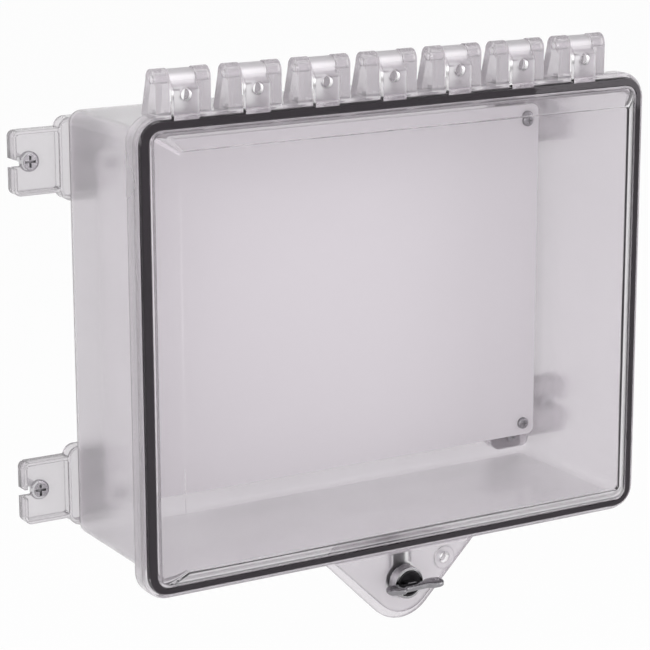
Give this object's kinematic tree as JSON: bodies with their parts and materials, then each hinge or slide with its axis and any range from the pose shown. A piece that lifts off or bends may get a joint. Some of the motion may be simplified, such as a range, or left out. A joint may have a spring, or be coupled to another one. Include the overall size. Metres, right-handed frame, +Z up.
{
  "type": "protective enclosure",
  "caption": "Clear wall-hung box with a clear door hinged along its top edge, black seal, thumb-turn lock with padlock hole, white back plate and slotted mounting feet.",
  "frame": {"origin": "centre of the four wall screws, on the wall plane behind the feet", "axes": "+Z up, front and door towards -Y, +X to the right seen from the front"},
  "size_m": [0.499, 0.1946, 0.4347],
  "materials": {
    "clear_shell": "clear moulded, smooth",
    "clear_feet": "clear moulded, smooth",
    "clear_pins": "clear rod",
    "white_plate": "satin white enamel",
    "black_seal": "dull",
    "lock_chrome": "polished",
    "lock_steel": "dark plated",
    "screw_steel": "bright plated"
  },
  "bodies": {
    "box": {"back_box": "clear_shell", "mounting_plate": "white_plate", "plate_post_top_left": "clear_shell", "plate_post_top_right": "clear_shell", "plate_post_bottom_left": "clear_shell", "plate_post_bottom_right": "clear_shell", "plate_screw_top_left": "screw_steel", "plate_screw_top_right": "screw_steel", "plate_screw_bottom_left": "screw_steel", "plate_screw_bottom_right": "screw_steel", "foot_top_left": "clear_feet", "foot_top_right": "clear_feet", "foot_bottom_left": "clear_feet", "foot_bottom_right": "clear_feet", "foot_screw_upper_top_left": "screw_steel", "foot_screw_upper_top_right": "screw_steel", "foot_screw_upper_bottom_left": "screw_steel", "foot_screw_upper_bottom_right": "screw_steel", "foot_screw_lower_top_left": "screw_steel", "foot_screw_lower_top_right": "screw_steel", "foot_screw_lower_bottom_left": "screw_steel", "foot_screw_lower_bottom_right": "screw_steel", "wall_screw_top_left": "screw_steel", "wall_screw_top_right": "screw_steel", "wall_screw_bottom_left": "screw_steel", "wall_screw_bottom_right": "screw_steel", "hinge_bracket_1": "clear_shell", "hinge_bracket_2": "clear_shell", "hinge_bracket_3": "clear_shell", "hinge_bracket_4": "clear_shell", "hinge_bracket_5": "clear_shell", "hinge_bracket_6": "clear_shell", "hinge_bracket_7": "clear_shell", "hinge_pin_1": "clear_pins", "hinge_pin_2": "clear_pins", "hinge_pin_3": "clear_pins", "hinge_pin_4": "clear_pins", "hinge_pin_5": "clear_pins", "hinge_pin_6": "clear_pins", "hinge_pin_7": "clear_pins"},
    "door": {"door": "clear_shell", "door_seal": "black_seal", "lock_body": "lock_chrome", "lock_nut": "lock_steel"},
    "thumb_turn": {"thumb_turn": "lock_chrome", "lock_cam": "lock_steel", "cam_screw": "lock_steel"}
  },
  "joints": [
    {"name": "door_hinge", "type": "hinge", "parent": "box", "child": "door", "pos_m": [0, -0.1375, 0.19925], "axis": [-1, 0, 0], "range_deg": [0, 170]},
    {"name": "lock_turn", "type": "hinge", "parent": "door", "child": "thumb_turn", "pos_m": [0, -0.145, -0.197], "axis": [0, -1, 0], "range_deg": [0, 90]}
  ]
}
